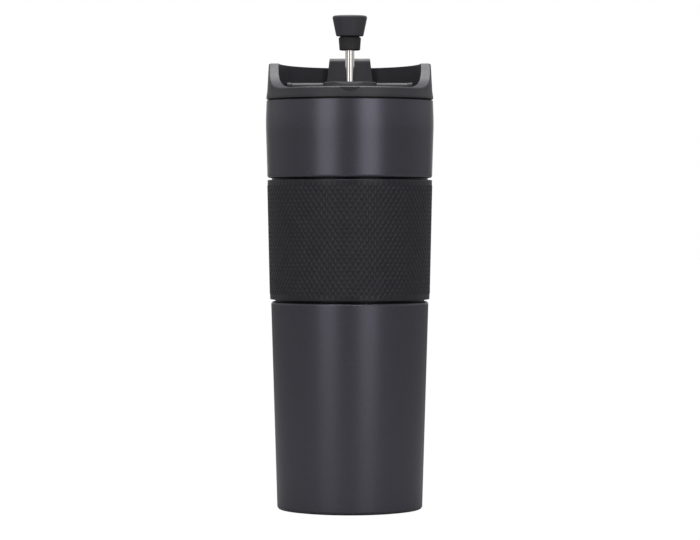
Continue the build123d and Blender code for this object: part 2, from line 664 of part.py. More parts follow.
def cross_plate():
    """Perforated plate that backs the mesh from below."""
    plate = column(CROSS_R, CROSS_Z, MESH_Z) - column(ROD_R + ROD_FIT, CROSS_Z - 1, MESH_Z + 1)
    ring_step = (CROSS_R - CROSS_BORDER - NUT_CORNER_R) / CROSS_RINGS
    for ring in range(CROSS_RINGS):
        ring_r = NUT_CORNER_R + ring_step * (ring + 0.5)
        drill = column(CROSS_HOLE_R, -1, CROSS_THICK + 1)
        plate -= Pos(0, 0, CROSS_Z) * PolarLocations(ring_r, int(2 * pi * ring_r / CROSS_PITCH)) * drill
    return plate


def filter_mesh():
    """Woven mesh, pressed into a shallow dish whose skirt runs against the bore."""
    return turned(
        (ROD_R + ROD_FIT, MESH_Z),
        (MESH_R, MESH_Z, MESH_CORNER),
        (MESH_R, MESH_Z + MESH_SKIRT),
        (MESH_R - MESH_THICK, MESH_Z + MESH_SKIRT),
        (MESH_R - MESH_THICK, SPIRAL_Z, MESH_CORNER - MESH_THICK),
        (ROD_R + ROD_FIT, SPIRAL_Z),
    )


def spiral_plate():
    """Upper plate with curved slots, which the edge spring is hooked round."""
    plate = column(SPIRAL_R, SPIRAL_Z, STOP_NUT_Z)
    plate -= column(ROD_R + ROD_FIT, SPIRAL_Z - 1, STOP_NUT_Z + 1)
    ring_r = (NUT_CORNER_R + SPIRAL_R) / 2
    section = Pos(ring_r, 0, (SPIRAL_Z + STOP_NUT_Z) / 2) * Rot(90, 0, 0)
    section *= Rectangle(SPIRAL_SLOT, SPIRAL_THICK + 2)
    cut = revolve(section, Axis.Z, revolution_arc=360 / SPIRAL_SLOTS - SPIRAL_BRIDGE)
    for number in range(SPIRAL_SLOTS):
        plate -= Rot(0, 0, 360 * number / SPIRAL_SLOTS) * cut
    return plate


def edge_spring():
    """Outer shape of the coiled spring that presses the mesh skirt outwards."""
    return Pos(0, 0, SPIRAL_Z + MESH_SKIRT / 2) * Torus(COIL_RING_R, COIL_R)


PIECES = {
    "outer_shell": outer_shell,
    "inner_shell": inner_shell,
    "base_plate": base_plate,
    "base_pad": base_pad,
    "vacuum_getter": vacuum_getter,
    "grip_sleeve": grip_sleeve,
    "lid_top": lid_top,
    "lid_plug": lid_plug,
    "lid_seal_ring": lid_seal_ring,
    "rod_wiper": rod_wiper,
    "drink_flap": drink_flap,
    "flap_pin": flap_pin,
    "drink_plug": drink_plug,
    "vent_plug": vent_plug,
    "knob": knob,
    "knob_insert": knob_insert,
    "knob_collar": knob_collar,
    "plunger_rod": plunger_rod,
    "stop_nut": lambda: nut(STOP_NUT_Z, STOP_NUT_HEIGHT),
    "hub_nut": lambda: nut(HUB_NUT_Z, HUB_NUT_HEIGHT, HUB_NUT_CAP),
    "cross_plate": cross_plate,
    "filter_mesh": filter_mesh,
    "spiral_plate": spiral_plate,
    "edge_spring": edge_spring,
}

os.makedirs("parts", exist_ok=True)
for name, make in PIECES.items():
    export_step(make(), f"parts/{name}.step")
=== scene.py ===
import bpy
import numpy as np
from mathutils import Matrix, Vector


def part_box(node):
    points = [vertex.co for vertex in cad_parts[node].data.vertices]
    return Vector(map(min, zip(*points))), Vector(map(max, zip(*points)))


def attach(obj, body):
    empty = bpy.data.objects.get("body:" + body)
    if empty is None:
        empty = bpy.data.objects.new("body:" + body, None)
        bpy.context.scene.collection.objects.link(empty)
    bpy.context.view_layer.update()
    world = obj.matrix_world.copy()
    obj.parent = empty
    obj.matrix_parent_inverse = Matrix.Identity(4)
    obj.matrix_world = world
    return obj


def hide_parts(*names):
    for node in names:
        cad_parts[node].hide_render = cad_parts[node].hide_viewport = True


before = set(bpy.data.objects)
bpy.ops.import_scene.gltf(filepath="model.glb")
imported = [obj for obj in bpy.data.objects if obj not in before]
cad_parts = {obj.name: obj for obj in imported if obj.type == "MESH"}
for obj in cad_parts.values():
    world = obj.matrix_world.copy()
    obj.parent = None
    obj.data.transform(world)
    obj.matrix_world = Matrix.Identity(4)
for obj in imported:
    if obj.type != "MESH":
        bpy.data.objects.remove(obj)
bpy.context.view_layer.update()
MM = 0.001


# ---- Steel vessel
# The inner cup is stainless sheet, drawn to a straight bore with a wider neck for the lid.
# It is brushed round and round on a lathe, and its lip is welded to the lip of the painted shell.

def add(material, kind, values=None, **joins):
    """A node of that kind in a material or world. Values go on its input sockets, and each join brings
    another node's output to the input of that name."""
    tree = material.node_tree
    node = tree.nodes.new(kind)
    for socket, value in (values or {}).items():
        node.inputs[socket].default_value = value
    for socket, source in joins.items():
        tree.links.new(source, node.inputs[socket.replace("_", " ")])
    return node


def joined(material, operation, first, second):
    """One number worked out from two, by a Math operation."""
    node = add(material, "ShaderNodeMath")
    node.operation = operation
    material.node_tree.links.new(first, node.inputs[0])
    material.node_tree.links.new(second, node.inputs[1])
    return node.outputs["Value"]


def grain_of(material, per_metre, detail=2.0, stretch=(1, 1, 1), turned=False):
    """Noise from 0 to 1, read at the object's own coordinates times stretch. Turned noise reads the height
    plus the distance from the axis in place of the height, so that its lines run round and round."""
    place = add(material, "ShaderNodeTexCoord").outputs["Object"]
    if turned:
        parts = add(material, "ShaderNodeSeparateXYZ", Vector=place)
        flat = add(material, "ShaderNodeCombineXYZ", X=parts.outputs["X"], Y=parts.outputs["Y"])
        span = add(material, "ShaderNodeVectorMath", Vector=flat.outputs["Vector"])
        span.operation = "LENGTH"
        climb = joined(material, "ADD", span.outputs["Value"], parts.outputs["Z"])
        place = add(material, "ShaderNodeCombineXYZ", X=parts.outputs["X"], Y=parts.outputs["Y"],
                    Z=climb).outputs["Vector"]
    scaled = add(material, "ShaderNodeMapping", {"Scale": stretch}, Vector=place)
    noise = add(material, "ShaderNodeTexNoise", {"Scale": per_metre, "Detail": detail},
                Vector=scaled.outputs["Vector"])
    return noise.outputs["Fac"]


def spread(material, factor, low, high, start=0.3, end=0.7):
    """A number that runs from low to high while the factor runs from start to end."""
    values = {"From Min": start, "From Max": end, "To Min": low, "To Max": high}
    return add(material, "ShaderNodeMapRange", values, Value=factor).outputs["Result"]


def shade(material, factor, first, second, start=0.3, end=0.7):
    """A colour that runs from the first to the second while the factor runs from start to end."""
    ramp = add(material, "ShaderNodeValToRGB", Fac=factor)
    for stop, place, colour in zip(ramp.color_ramp.elements, (start, end), (first, second)):
        stop.position = place
        stop.color = (*colour, 1)
    return ramp.outputs["Color"]


def raised(material, height, depth, under=None):
    """A surface normal that lifts by depth, in metres, as the height runs from 0 to 1, over another one."""
    joins = {"Height": height} if under is None else {"Height": height, "Normal": under}
    return add(material, "ShaderNodeBump", {"Strength": 1.0, "Distance": depth}, **joins).outputs["Normal"]


def finish(name, metal, specular, colour, rough, normal):
    """A material whose shader has plain values for metal and specular. The others are functions of the
    material that give the colour, the roughness and the surface normal."""
    material = bpy.data.materials.new(name)
    material.use_nodes = True
    shader = material.node_tree.nodes["Principled BSDF"]
    shader.inputs["Metallic"].default_value = metal
    shader.inputs["Specular IOR Level"].default_value = specular
    for socket, source in (("Base Color", colour), ("Roughness", rough), ("Normal", normal)):
        material.node_tree.links.new(source(material), shader.inputs[socket])
    return material


def wear_finish(node, material):
    """Gives a CAD node one finish."""
    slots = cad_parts[node].data.materials
    slots.clear()
    slots.append(material)


BRUSH_LINES = (60, 60, 9000)


def brushed_lines(material):
    return grain_of(material, 1.0, 3.0, BRUSH_LINES, turned=True)


brushed_steel = finish(
    "brushed_steel", 1.0, 0.5,
    lambda m: shade(m, brushed_lines(m), (0.50, 0.50, 0.51), (0.66, 0.66, 0.665)),
    lambda m: spread(m, brushed_lines(m), 0.24, 0.40),
    lambda m: raised(m, brushed_lines(m), 0.01 * MM))
wear_finish("inner_shell", brushed_steel)


# ---- Vacuum getter
# A pressed button of getter metal under the inner floor. It soaks up the last gas between the two walls.
# It has the dull grey of sintered powder.

getter_metal = finish(
    "getter_metal", 0.8, 0.5,
    lambda m: shade(m, grain_of(m, 3000), (0.20, 0.20, 0.20), (0.30, 0.30, 0.29)),
    lambda m: spread(m, grain_of(m, 3000), 0.5, 0.7),
    lambda m: raised(m, grain_of(m, 3000), 0.02 * MM))
wear_finish("vacuum_getter", getter_metal)


# ---- Painted shell
# The outer wall is stainless sheet with a soft shoulder, a groove for the grip and a flange under the base.
# It is sprayed with a graphite metallic paint over black primer: fine flakes and a faint orange peel. The
# groove and a thin band at the lip are painted near-black as painted shade for the gaps there, and the paint
# is rubbed thin at the foot.

FLAKES = 5200              # flakes to the metre
PEEL = 700                 # orange peel ripples to the metre
shell_low, shell_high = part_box("outer_shell")
EDGE_BAND = 1.1 * MM       # how far the rubbed edge reaches up from the foot
GROOVE_END = 0.95 * MM     # groove beyond each end of the sleeve
LIP_SHADE_BAND = 0.35 * MM       # width of the painted shade band at the lip
SHADE_FADE = 0.12 * MM     # over which the paint fades into the painted shade
sleeve_low, sleeve_high = (corner.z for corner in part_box("grip_sleeve"))
groove_low, groove_high = sleeve_low - GROOVE_END, sleeve_high + GROOVE_END


def height_of(material):
    """The height above the table, in metres."""
    place = add(material, "ShaderNodeTexCoord").outputs["Object"]
    return add(material, "ShaderNodeSeparateXYZ", Vector=place).outputs["Z"]


def rubbed_foot(material):
    """How much the paint is rubbed: 1 at the foot, 0 past EDGE_BAND, broken up by noise."""
    near = spread(material, height_of(material), 1.0, 0.0, shell_low.z, shell_low.z + EDGE_BAND)
    return joined(material, "MULTIPLY", near, grain_of(material, 900, 4.0))


def painted_gap_shade(material):
    """Painted shade for the gaps at the grip and the lid: 1 in the groove and at the lip, 0 where the paint
    is.
    """
    height = height_of(material)
    over = spread(material, height, 0.0, 1.0, groove_low - SHADE_FADE, groove_low)
    under = spread(material, height, 1.0, 0.0, groove_high, groove_high + SHADE_FADE)
    lip = spread(material, height, 0.0, 1.0, shell_high.z - LIP_SHADE_BAND - SHADE_FADE, shell_high.z - LIP_SHADE_BAND)
    return joined(material, "MAXIMUM", joined(material, "MINIMUM", over, under), lip)


def blended(material, share, first, second):
    """The first colour, going over to the second as the share goes from 0 to 1."""
    mix = add(material, "ShaderNodeMix", Factor=share)
    mix.data_type = "RGBA"
    inputs = [socket for socket in mix.inputs if socket.type == "RGBA"]
    material.node_tree.links.new(first, inputs[0])
    inputs[1].default_value = (*second, 1)
    return [socket for socket in mix.outputs if socket.type == "RGBA"][0]


def paint_colour(material):
    flakes = shade(material, grain_of(material, FLAKES, 1.0), (0.092, 0.089, 0.110), (0.134, 0.129, 0.156))
    worn = blended(material, rubbed_foot(material), flakes, (0.24, 0.24, 0.25))
    # The groove and the lip band go near-black: painted shade, standing for the shadow in the gaps.
    return blended(material, painted_gap_shade(material), worn, (0.010, 0.010, 0.012))


def paint_normal(material):
    peel = raised(material, grain_of(material, PEEL), 0.004 * MM)
    return raised(material, grain_of(material, FLAKES, 1.0), 0.002 * MM, peel)


graphite_paint = finish(
    "graphite_paint", 0.85, 0.5, paint_colour,
    lambda m: spread(m, grain_of(m, FLAKES, 1.0), 0.28, 0.35),
    paint_normal)
wear_finish("outer_shell", graphite_paint)


# ---- Base plate
# A flat steel disc, welded over the hole in the shell's bottom once the air between the walls is drawn out.
# It has the turned lines of the same brushed stainless sheet.

wear_finish("base_plate", brushed_steel)


# ---- Base pad
# A moulded disc of black silicone, glued under the base plate so that the press doesn't slip.
# It has one wide ring groove, fine ribs outside that, and a rounded edge.

AXIS_R = 0.2 * MM          # where a turned outline ends, short of the axis
PAD_CUT = 0.25 * MM        # how soon the pad's corners round off
PAD_BORDER = 8.5 * MM      # pad edge to the ring groove
PAD_GROOVE = 2.0 * MM      # width of that groove
PAD_GROOVE_DEPTH = 0.35 * MM
PAD_RIBS = 5
PAD_RIB_DEPTH = 0.2 * MM
RIBS_IN = 0.6 * MM         # groove to the first rib
RIBS_OUT = 1.0 * MM        # last rib to the pad's edge
AROUND = 96                # points round a turned piece


def rounded(corners, loop=True, steps=5):
    """Points of an outline with soft corners. Each corner is (radius, height, cut): the line leaves it at
    `cut` before the corner and comes back at `cut` after it, on the curve (1-t)^2 before + 2t(1-t) corner +
    t^2 after. An open outline keeps its two end points sharp."""
    corner = np.array(corners, float)
    place, cut = corner[:, :2], corner[:, 2:]
    back = np.roll(place, 1, axis=0) - place
    ahead = np.roll(place, -1, axis=0) - place
    before = place + cut * back / np.linalg.norm(back, axis=1, keepdims=True)
    after = place + cut * ahead / np.linalg.norm(ahead, axis=1, keepdims=True)
    t = np.linspace(0, 1, steps)[None, :, None]
    curve = (1 - t) ** 2 * before[:, None] + 2 * t * (1 - t) * place[:, None] + t ** 2 * after[:, None]
    if loop:
        return curve.reshape(-1, 2)
    return np.vstack([place[:1], curve[1:-1].reshape(-1, 2), place[-1:]])


def turned_rings(outline, around=AROUND, slot_half=0.0, x=0.0, y=0.0):
    """Rings of points: each (radius, height) of the outline goes round the axis at x, y. Slot_half moves the
    two halves of each ring apart along X, which makes the section a slot."""
    angle = 2 * np.pi * (np.arange(around) + 0.5) / around
    radius, height = outline[:, :1], outline[:, 1:]
    across = x + radius * np.cos(angle) + slot_half * np.sign(np.cos(angle))
    return np.stack([across, y + radius * np.sin(angle), height + 0 * angle], axis=-1)


def ring_quads(rings, around, loop=True):
    """Point numbers of the quads that join each ring to the next, and the last to the first in a loop. An
    outline that climbs outside and comes back inside gives faces that point outwards."""
    row = np.arange(rings if loop else rings - 1)[:, None]
    column = np.arange(around)[None, :]
    above = (row + 1) % rings
    beside = (column + 1) % around
    corners = (row * around + column, row * around + beside, above * around + beside, above * around + column)
    return np.stack(corners, axis=-1).reshape(-1, 4)


def ring_faces(rings, around, loop=True, first=0):
    """The same quads as lists, counted from the point numbered first, with a flat cap on each end of an open
    outline."""
    faces = (ring_quads(rings, around, loop) + first).tolist()
    if not loop:
        faces.append(list(range(first + around - 1, first - 1, -1)))
        faces.append(list(range(first + (rings - 1) * around, first + rings * around)))
    return faces


def piece_of(name, points, faces, material, even=True):
    """A smooth mesh object in one finish. Even ones take their shading from their larger faces."""
    mesh = bpy.data.meshes.new(name)
    mesh.from_pydata(points.reshape(-1, 3).tolist(), [], faces)
    mesh.shade_smooth()
    mesh.materials.append(material)
    piece = bpy.data.objects.new(name, mesh)
    bpy.context.scene.collection.objects.link(piece)
    if even:
        piece.modifiers.new("even_shading", "WEIGHTED_NORMAL")
    return piece


def rubber(name, pale, dark, rough_low, rough_high):
    """Moulded silicone: a matte skin with a fine grain and faint paler patches."""
    return finish(
        name, 0.0, 0.4,
        lambda m: shade(m, grain_of(m, 160, 4.0), dark, pale),
        lambda m: spread(m, grain_of(m, 1800), rough_low, rough_high),
        lambda m: raised(m, grain_of(m, 4200), 0.012 * MM))


black_silicone = rubber("black_silicone", (0.022, 0.022, 0.024), (0.017, 0.017, 0.019), 0.52, 0.64)
pad_low, pad_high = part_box("base_pad")
pad_r = pad_high.x
groove_out = pad_r - PAD_BORDER
groove_in = groove_out - PAD_GROOVE
rib_pitch = (PAD_BORDER - RIBS_IN - RIBS_OUT) / PAD_RIBS
pad_corners = [
    (AXIS_R, pad_low.z, 0),
    (groove_in, pad_low.z, PAD_CUT / 2),
    (groove_in, pad_low.z + PAD_GROOVE_DEPTH, PAD_CUT / 2),
    (groove_out, pad_low.z + PAD_GROOVE_DEPTH, PAD_CUT / 2),
    (groove_out, pad_low.z, PAD_CUT / 2),
]
for number in range(PAD_RIBS):
    start = groove_out + RIBS_IN + number * rib_pitch
    pad_corners += [
        (start + 0.3 * rib_pitch, pad_low.z, PAD_CUT / 3),
        (start + 0.5 * rib_pitch, pad_low.z + PAD_RIB_DEPTH, PAD_CUT / 3),
        (start + 0.7 * rib_pitch, pad_low.z + PAD_RIB_DEPTH, PAD_CUT / 3),
        (start + 0.9 * rib_pitch, pad_low.z, PAD_CUT / 3),
    ]
pad_corners += [
    (pad_r, pad_low.z, PAD_CUT),
    (pad_r, pad_high.z, PAD_CUT),
    (AXIS_R, pad_high.z, 0),
]
pad_outline = rounded(pad_corners, loop=False)
pad_faces = ring_faces(len(pad_outline), AROUND, loop=False)
ribbed_pad = piece_of("ribbed_pad", turned_rings(pad_outline), pad_faces, black_silicone)
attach(ribbed_pad, "cup")
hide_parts("base_pad")


# ---- Grip sleeve
# A band of dark silicone, moulded with a field of small staggered diamonds, flat on top, between two smooth
# hems. It is stretched over the cup and snaps into the groove of the painted shell.

DIAMONDS_AROUND = 90
DIAMONDS_HIGH = 13
CELLS = 8                  # grid cells to a diamond, each way
DIAMOND_DEPTH = 0.34 * MM  # top of a diamond above the valley round it
HEM = 2.4 * MM             # smooth band at each end
FADE = 0.35 * MM           # height over which the field falls away to the hem


def cad_points(node):
    """The distance from the axis and the height of every point of a CAD node."""
    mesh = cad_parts[node].data
    points = np.empty(len(mesh.vertices) * 3)
    mesh.vertices.foreach_get("co", points)
    points = points.reshape(-1, 3)
    return np.hypot(points[:, 0], points[:, 1]), points[:, 2]


def diamond_height(across, up):
    """How high the pattern stands, 0 in the valleys and 1 on the flat tops. Across and up count diamonds.
    Centres lie at whole and at half numbers, in step. With d = 1 - 2|across| - 2|up| from the nearest centre,
    the height is 2d, cut off at 1."""
    def from_centres(shift):
        away_across = np.abs(across - shift - np.round(across - shift))
        away_up = np.abs(up - shift - np.round(up - shift))
        return 1 - 2 * away_across - 2 * away_up

    return np.clip(2 * np.maximum(from_centres(0), from_centres(0.5)), 0, 1)


field_low, field_high = sleeve_low + HEM, sleeve_high - HEM
reach, height = cad_points("grip_sleeve")
ends = [reach[np.abs(height - end) < 0.01 * MM] for end in (sleeve_low, sleeve_high)]
wall_middle = np.interp(height, [sleeve_low, sleeve_high], [(end.min() + end.max()) / 2 for end in ends])
skin = np.unique(np.column_stack([height, reach])[reach > wall_middle].round(6), axis=0)
hem_rows = np.unique(skin[:, 0])
low_rows, high_rows = hem_rows[hem_rows < field_low - 1e-5], hem_rows[hem_rows > field_high + 1e-5]
rows = np.concatenate([low_rows, np.linspace(field_low, field_high, DIAMONDS_HIGH * CELLS + 1), high_rows])
columns = DIAMONDS_AROUND * CELLS
turns = np.arange(columns) / columns
outside = np.interp(rows, skin[:, 0], skin[:, 1])[:, None] + 0 * turns
in_field = np.clip(np.minimum(rows - field_low, field_high - rows) / FADE, 0, 1)[:, None]
up = (rows - field_low)[:, None] / (field_high - field_low) * DIAMONDS_HIGH
outside -= in_field * DIAMOND_DEPTH * (1 - diamond_height(turns * DIAMONDS_AROUND, up))
inside = np.array([ends[1].min(), ends[0].min()])[:, None] + 0 * turns
sleeve_radius = np.vstack([outside, inside])
sleeve_height = np.concatenate([rows, [sleeve_high, sleeve_low]])[:, None] + 0 * turns
sleeve_angle = 2 * np.pi * turns
sleeve_points = np.stack([sleeve_radius * np.cos(sleeve_angle), sleeve_radius * np.sin(sleeve_angle),
                          sleeve_height], axis=-1)
quads = ring_quads(len(sleeve_points), columns).reshape(len(sleeve_points), columns, 4)
row_number = np.arange(len(sleeve_points))[:, None] - len(low_rows)
leans = ((row_number // (CELLS // 2) + np.arange(columns)[None, :] // (CELLS // 2)) % 2).astype(bool)
one_way = np.stack([quads[..., [0, 1, 2]], quads[..., [0, 2, 3]]], axis=2)
other_way = np.stack([quads[..., [0, 1, 3]], quads[..., [1, 2, 3]]], axis=2)
sleeve_faces = np.where(leans[:, :, None, None], one_way, other_way).reshape(-1, 3).tolist()
grip_silicone = rubber("grip_silicone", (0.024, 0.023, 0.029), (0.018, 0.017, 0.023), 0.34, 0.44)
knurled_sleeve = piece_of("knurled_sleeve", sleeve_points, sleeve_faces, grip_silicone, even=False)
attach(knurled_sleeve, "cup")
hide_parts("grip_sleeve")


# ---- Lid and plug
# The lid is moulded in black polypropylene, with a fine satin grain from the mould, and the hollow plug under
# it is spun-welded to its spigot.

def satin_plastic(name, pale, dark, rough_low, rough_high):
    """Moulded plastic: a fine leathery grain from the mould, with broad and faint patches of wear."""
    return finish(
        name, 0.0, 0.5,
        lambda m: shade(m, grain_of(m, 90, 5.0), dark, pale),
        lambda m: spread(m, grain_of(m, 350, 4.0), rough_low, rough_high),
        lambda m: raised(m, grain_of(m, 3400, 3.0), 0.014 * MM, raised(m, grain_of(m, 500), 0.006 * MM)))


lid_plastic = satin_plastic("lid_plastic", (0.041, 0.040, 0.047), (0.034, 0.033, 0.040), 0.38, 0.48)
wear_finish("lid_top", lid_plastic)
wear_finish("lid_plug", lid_plastic)


# ---- Rod wiper
# A ring of black silicone with two lips, held in a pocket between the lid and its plug.
# It wipes the rod, so it is the glossiest of the seals.

wear_finish("rod_wiper", rubber("wiper_silicone", (0.020, 0.020, 0.022), (0.016, 0.016, 0.018), 0.36, 0.46))


# ---- Lid seal
# A ring of black silicone stretched into the plug's groove, with two soft fins that bend against the neck.
# The fins lean up, so that the lid slides in more easily than it pulls out.

FIN_ROOT = 1.5 * MM        # height of a fin where it leaves the ring
FIN_TIP = 0.7 * MM         # and at its edge
FIN_LEAN = 0.5 * MM        # edge of the fin above its root
FIN_FILLET = 0.15 * MM     # where a fin meets the ring
FIN_CUT = 0.25 * MM        # rounding of a fin's edge
SEAL_CUT = 0.2 * MM        # and of the ring's corners
seal_low, seal_high = (corner.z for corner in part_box("lid_seal_ring"))
seal_reach, seal_height = cad_points("lid_seal_ring")
seal_back, fin_r = seal_reach.min(), seal_reach.max()
seal_face = seal_reach[seal_height < seal_low + 0.01 * MM].max()
seal_corners = [(seal_back, seal_low, SEAL_CUT), (seal_face, seal_low, SEAL_CUT)]
for middle in (0.25, 0.75):
    fin_z = seal_low + middle * (seal_high - seal_low)
    seal_corners += [
        (seal_face, fin_z - FIN_ROOT / 2, FIN_FILLET),
        (fin_r, fin_z + FIN_LEAN - FIN_TIP / 2, FIN_CUT),
        (fin_r, fin_z + FIN_LEAN + FIN_TIP / 2, FIN_CUT),
        (seal_face, fin_z + FIN_ROOT / 2, FIN_FILLET),
    ]
seal_corners += [(seal_face, seal_high, SEAL_CUT), (seal_back, seal_high, SEAL_CUT)]
seal_outline = rounded(seal_corners)
finned_seal = piece_of("finned_seal", turned_rings(seal_outline), ring_faces(len(seal_outline), AROUND),
                       black_silicone)
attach(finned_seal, "lid_seal")
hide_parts("lid_seal_ring")


# ---- Drinking flap and its pin
# The flap is moulded in the lid's plastic, with a hinge barrel across its width and an upright thumb tab. Its
# colour is a lighter copy of the lid's: painted light, for the tab that catches more light.
# It snaps into the lid's two ears on a pin of black nylon, which is a little duller than the flap.

# A lighter copy of the lid's plastic: painted light for the brighter tab.
flap_plastic_painted_lit = satin_plastic("flap_plastic_painted_lit", (0.052, 0.051, 0.057), (0.042, 0.041, 0.047), 0.38, 0.48)
wear_finish("drink_flap", flap_plastic_painted_lit)
black_nylon = satin_plastic("black_nylon", (0.059, 0.057, 0.067), (0.048, 0.046, 0.055), 0.44, 0.54)
wear_finish("flap_pin", black_nylon)


# ---- Stoppers
# Two silicone stoppers hang under the flap, a slot-shaped one for the drinking hole and a small round one for
# the vent. Each is pulled through its hole in the flap by a stem, and is held by a domed button on top.

FLAP_THICK = 2.0 * MM
STEM_R = 1.3 * MM
STEM_BUTTON_R = 2.2 * MM
STEM_BUTTON_HEIGHT = 0.8 * MM
NOSE_IN = 2.3 * MM         # nose inside the flange
NOSE_HEIGHT = 1.6 * MM
VENT_STEM_R = 1.0 * MM
VENT_BUTTON_R = 1.5 * MM
VENT_BUTTON_HEIGHT = 0.4 * MM
VENT_NOSE_R = 0.75 * MM
VENT_NOSE_HEIGHT = 0.8 * MM
STOPPER_AROUND = 48
STOPPER_CUT = 0.22 * MM    # rounding of a stopper's corners
STOPPER_AXIS_R = 0.1 * MM  # where its outline ends, short of the axis


def stopper(name, node, nose_r, nose_height, stem_r, button_r, button_height, material):
    """A stopper with its nose at the bottom, then a flange, then a stem with a domed button. The nose and
    flange are turned about the node's middle and stretched to its length; the stem and button stay round."""
    low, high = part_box(node)
    flange_r = (high.y - low.y) / 2
    slot_half = (high.x - low.x) / 2 - flange_r
    middle_x, middle_y = (high.x + low.x) / 2, (high.y + low.y) / 2
    flange_top = high.z - button_height - FLAP_THICK
    flange_low = low.z + nose_height
    cut, inmost = STOPPER_CUT, STOPPER_AXIS_R
    nose = rounded([
        (inmost, low.z, 0), (nose_r, low.z, 2 * cut), (nose_r, flange_low, cut / 2),
        (flange_r, flange_low, cut), (flange_r, flange_top, cut), (inmost, flange_top, 0)], loop=False)
    button_low = high.z - button_height
    stem = rounded([
        (inmost, flange_low + cut, 0), (stem_r, flange_low + cut, cut / 4), (stem_r, button_low, cut / 4),
        (button_r, button_low, cut / 2), (button_r, high.z, 0.6 * button_height), (inmost, high.z, 0)],
        loop=False)
    nose_points = turned_rings(nose, STOPPER_AROUND, slot_half, middle_x, middle_y).reshape(-1, 3)
    stem_points = turned_rings(stem, STOPPER_AROUND, 0.0, middle_x, middle_y).reshape(-1, 3)
    faces = ring_faces(len(nose), STOPPER_AROUND, loop=False)
    faces += ring_faces(len(stem), STOPPER_AROUND, loop=False, first=len(nose_points))
    return piece_of(name, np.vstack([nose_points, stem_points]), faces, material)


drink_flange_r = (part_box("drink_plug")[1].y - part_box("drink_plug")[0].y) / 2
drink_stopper = stopper("drink_stopper", "drink_plug", drink_flange_r - NOSE_IN, NOSE_HEIGHT, STEM_R,
                        STEM_BUTTON_R, STEM_BUTTON_HEIGHT, black_silicone)
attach(drink_stopper, "flap")
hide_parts("drink_plug")
vent_stopper = stopper("vent_stopper", "vent_plug", VENT_NOSE_R, VENT_NOSE_HEIGHT, VENT_STEM_R,
                       VENT_BUTTON_R, VENT_BUTTON_HEIGHT, black_silicone)
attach(vent_stopper, "flap")
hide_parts("vent_plug")


# ---- Rod
# A drawn and polished stainless rod. Its lower end is threaded for the two nuts that hold the filter, with a
# run-out where the thread stops, and its upper end screws into the knob.

ROD_AROUND = 32
THREAD_PITCH = 0.8 * MM
THREAD_DEPTH = 0.32 * MM
THREAD_LENGTH = 18 * MM
THREAD_ROWS = 8            # rows of points to a turn
THREAD_END = 1 * MM        # plain rod before the first row above the thread
PLAIN_ROWS = 24
ROD_TIP = 0.5 * MM


def drawn_lines(material):
    return grain_of(material, 1.0, 2.0, (2500, 2500, 40))


polished_steel = finish(
    "polished_steel", 1.0, 0.5,
    lambda m: shade(m, drawn_lines(m), (0.86, 0.83, 0.80), (0.94, 0.91, 0.88)),
    lambda m: spread(m, drawn_lines(m), 0.10, 0.17),
    lambda m: raised(m, drawn_lines(m), 0.002 * MM))
rod_low, rod_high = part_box("plunger_rod")
rod_r = rod_high.x
thread_rows = int(THREAD_LENGTH / THREAD_PITCH * THREAD_ROWS)
rod_rows = np.concatenate([
    [rod_low.z, rod_low.z + ROD_TIP],
    rod_low.z + ROD_TIP + np.arange(1, thread_rows) * THREAD_PITCH / THREAD_ROWS,
    np.linspace(rod_low.z + THREAD_LENGTH + THREAD_END, rod_high.z - ROD_TIP, PLAIN_ROWS),
    [rod_high.z],
])[:, None]
rod_turns = np.arange(ROD_AROUND) / ROD_AROUND
rod_angle = 2 * np.pi * rod_turns
thread_wave = np.abs(2 * ((rod_rows / THREAD_PITCH - rod_turns) % 1) - 1)
cut_off = np.clip((rod_low.z + THREAD_LENGTH - rod_rows) / (2 * THREAD_PITCH), 0, 1)
rod_radius = rod_r - THREAD_DEPTH * thread_wave * cut_off
rod_radius[[0, -1]] = rod_r - ROD_TIP
rod_points = np.stack([rod_radius * np.cos(rod_angle), rod_radius * np.sin(rod_angle),
                       rod_rows + 0 * rod_turns], axis=-1)
threaded_rod = piece_of("threaded_rod", rod_points, ring_faces(len(rod_points), ROD_AROUND, loop=False),
                        polished_steel)
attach(threaded_rod, "plunger")
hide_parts("plunger_rod")


# ---- Knob, insert and collar
# The knob is moulded in black nylon over a hexagonal brass insert that the rod screws into.
# The silicone collar is pushed up the rod against the knob, and closes the rod's seat when the knob is down.

wear_finish("knob", black_nylon)
wear_finish("knob_collar", rubber("collar_silicone", (0.034, 0.034, 0.037), (0.027, 0.027, 0.030), 0.5, 0.6))


def lathe_lines(material):
    return grain_of(material, 1.0, 2.0, (120, 120, 7000), turned=True)


turned_brass = finish(
    "turned_brass", 1.0, 0.5,
    lambda m: shade(m, lathe_lines(m), (0.62, 0.47, 0.20), (0.76, 0.60, 0.30)),
    lambda m: spread(m, lathe_lines(m), 0.22, 0.36),
    lambda m: raised(m, lathe_lines(m), 0.006 * MM))
wear_finish("knob_insert", turned_brass)


# ---- Filter plates and nuts
# Two pressed stainless plates hold the mesh between them, a perforated one below and one with curved slots
# above. A closed nut below and an open one above clamp the stack on the rod's thread.

pressed_steel = finish(
    "pressed_steel", 1.0, 0.5,
    lambda m: shade(m, grain_of(m, 700, 4.0), (0.52, 0.52, 0.53), (0.62, 0.62, 0.63)),
    lambda m: spread(m, lathe_lines(m), 0.22, 0.34),
    lambda m: raised(m, lathe_lines(m), 0.005 * MM))
for plate in ("cross_plate", "spiral_plate", "stop_nut", "hub_nut"):
    wear_finish(plate, pressed_steel)


# ---- Filter mesh
# Fine stainless wire, woven plain, cut to a disc and pressed into a dish whose skirt runs against the bore.
# The raw edge is folded into a thin steel hem.

